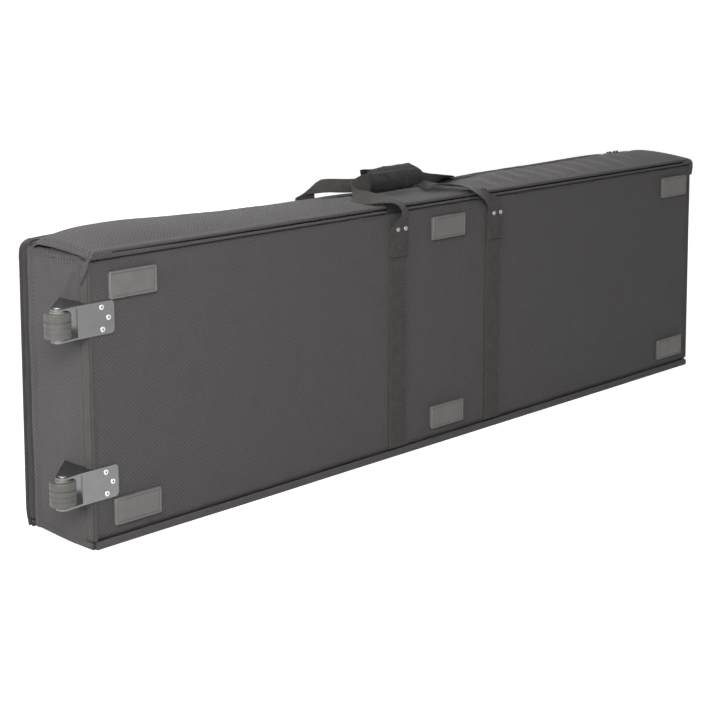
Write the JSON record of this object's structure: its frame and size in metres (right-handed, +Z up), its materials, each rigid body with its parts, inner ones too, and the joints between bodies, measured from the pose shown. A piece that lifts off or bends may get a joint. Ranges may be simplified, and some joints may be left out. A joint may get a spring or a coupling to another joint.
{
  "type": "wheeled telescope carry case",
  "caption": "Long soft-sided padded carry case with corner wheels, skid pads, a zipped hinged lid and a wrapped webbing carrying handle.",
  "frame": {"origin": "centre of the base wall's outer face, which the case stands on", "axes": "+X along the case away from the wheels, +Y from the padded floor panel to the lid, +Z up towards the carrying handle"},
  "size_m": [1.4648, 0.1766, 0.4375],
  "materials": {
    "shell_fabric": "matte",
    "stiffener_board": "matte",
    "lining": "matte",
    "binding_tape": "matte",
    "skid_pad": "matte",
    "rivet_steel": "polished",
    "zinc_steel": "satin",
    "webbing": "matte",
    "bracket_steel": "satin",
    "wheel_rubber": "matte",
    "wheel_nylon": "matte",
    "zip_tape": "matte",
    "zip_metal": "satin",
    "grip_fabric": "matte"
  },
  "bodies": {
    "tray": {"floor_panel_cover": "shell_fabric", "floor_panel_board": "stiffener_board", "floor_panel_foam": "lining", "top_wall_cover": "shell_fabric", "top_wall_board": "stiffener_board", "top_wall_foam": "lining", "base_wall_cover": "shell_fabric", "base_wall_board": "stiffener_board", "base_wall_foam": "lining", "wheel_end_cover": "shell_fabric", "wheel_end_board": "stiffener_board", "wheel_end_foam": "lining", "far_end_cover": "shell_fabric", "far_end_board": "stiffener_board", "far_end_foam": "lining", "top_binding": "binding_tape", "base_binding": "binding_tape", "wheel_end_binding": "binding_tape", "far_end_binding": "binding_tape", "skid_pad_wheel_end_lower": "skid_pad", "skid_pad_wheel_end_upper": "skid_pad", "skid_pad_middle_lower": "skid_pad", "skid_pad_middle_upper": "skid_pad", "skid_pad_far_end_lower": "skid_pad", "skid_pad_far_end_upper": "skid_pad", "floor_webbing_left": "webbing", "floor_webbing_right": "webbing", "tray_strap_left": "webbing", "tray_strap_right": "webbing", "tray_strap_rivets": "rivet_steel", "wheel_bracket_lower": "bracket_steel", "wheel_bracket_upper": "bracket_steel", "bracket_rivets": "rivet_steel", "wheel_axles": "zinc_steel", "wheel_washers": "zinc_steel", "tray_zip_stringer": "zip_tape"},
    "lid": {"lid_cover": "shell_fabric", "lid_board": "stiffener_board", "lid_foam": "lining", "lid_top_wall": "shell_fabric", "lid_wheel_end_wall": "shell_fabric", "lid_far_end_wall": "shell_fabric", "lid_zip_stringer": "zip_tape", "cloth_hinge": "shell_fabric", "lid_strap_rivets": "rivet_steel", "lid_strap_left": "webbing", "lid_strap_right": "webbing"},
    "handle": {"grip_wrap": "grip_fabric", "tray_loop_core": "webbing"},
    "grip_flap": {"grip_flap": "grip_fabric"},
    "lid_loop": {"lid_loop_core": "webbing"},
    "wheel_lower": {"wheel_tyre_lower": "wheel_rubber", "wheel_hub_lower": "wheel_nylon"},
    "wheel_upper": {"wheel_tyre_upper": "wheel_rubber", "wheel_hub_upper": "wheel_nylon"},
    "slider_left": {"zip_slider_left": "zip_metal"},
    "slider_right": {"zip_slider_right": "zip_metal"},
    "pull_left": {"zip_pull_left": "zip_metal"},
    "pull_right": {"zip_pull_right": "zip_metal"}
  },
  "joints": [
    {"name": "lid_hinge", "type": "hinge", "parent": "tray", "child": "lid", "pos_m": [0, 0.0695, 0], "axis": [-1, 0, 0], "range_deg": [0, 90]},
    {"name": "handle_lift", "type": "slide", "parent": "tray", "child": "handle", "axis": [0, 0, 1], "range_m": [0, 0.04], "deforming": ["tray_strap_left", "tray_strap_right"]},
    {"name": "lid_loop_lift", "type": "slide", "parent": "lid", "child": "lid_loop", "axis": [0, 0, 1], "range_m": [0, 0.04], "deforming": ["lid_strap_left", "lid_strap_right"]},
    {"name": "grip_flap_fold", "type": "hinge", "parent": "handle", "child": "grip_flap", "pos_m": [0, 0.0115, 0.4375], "axis": [1, 0, 0], "range_deg": [0, 150]},
    {"name": "wheel_spin_lower", "type": "hinge", "parent": "tray", "child": "wheel_lower", "pos_m": [-0.746, -0.0655, 0.088], "axis": [0, 0, 1], "continuous": true},
    {"name": "wheel_spin_upper", "type": "hinge", "parent": "tray", "child": "wheel_upper", "pos_m": [-0.746, -0.0655, 0.305], "axis": [0, 0, 1], "continuous": true},
    {"name": "zip_travel_left", "type": "slide", "parent": "tray", "child": "slider_left", "axis": [1, 0, 0], "range_m": [-1.3, 0]},
    {"name": "zip_travel_right", "type": "slide", "parent": "tray", "child": "slider_right", "axis": [1, 0, 0], "range_m": [0, 0.055]},
    {"name": "pull_swing_left", "type": "hinge", "parent": "slider_left", "child": "pull_left", "pos_m": [0.6055, 0.0495, 0.3977], "axis": [0, 1, 0], "range_deg": [0, 100]},
    {"name": "pull_swing_right", "type": "hinge", "parent": "slider_right", "child": "pull_right", "pos_m": [0.6265, 0.0495, 0.3977], "axis": [0, -1, 0], "range_deg": [0, 100]}
  ],
  "couplings": [
    {"joint": "lid_loop_lift", "follows": "handle_lift", "ratio": 1},
    {"joint": "grip_flap_fold", "follows": "lid_hinge", "ratio": 1.6667}
  ]
}
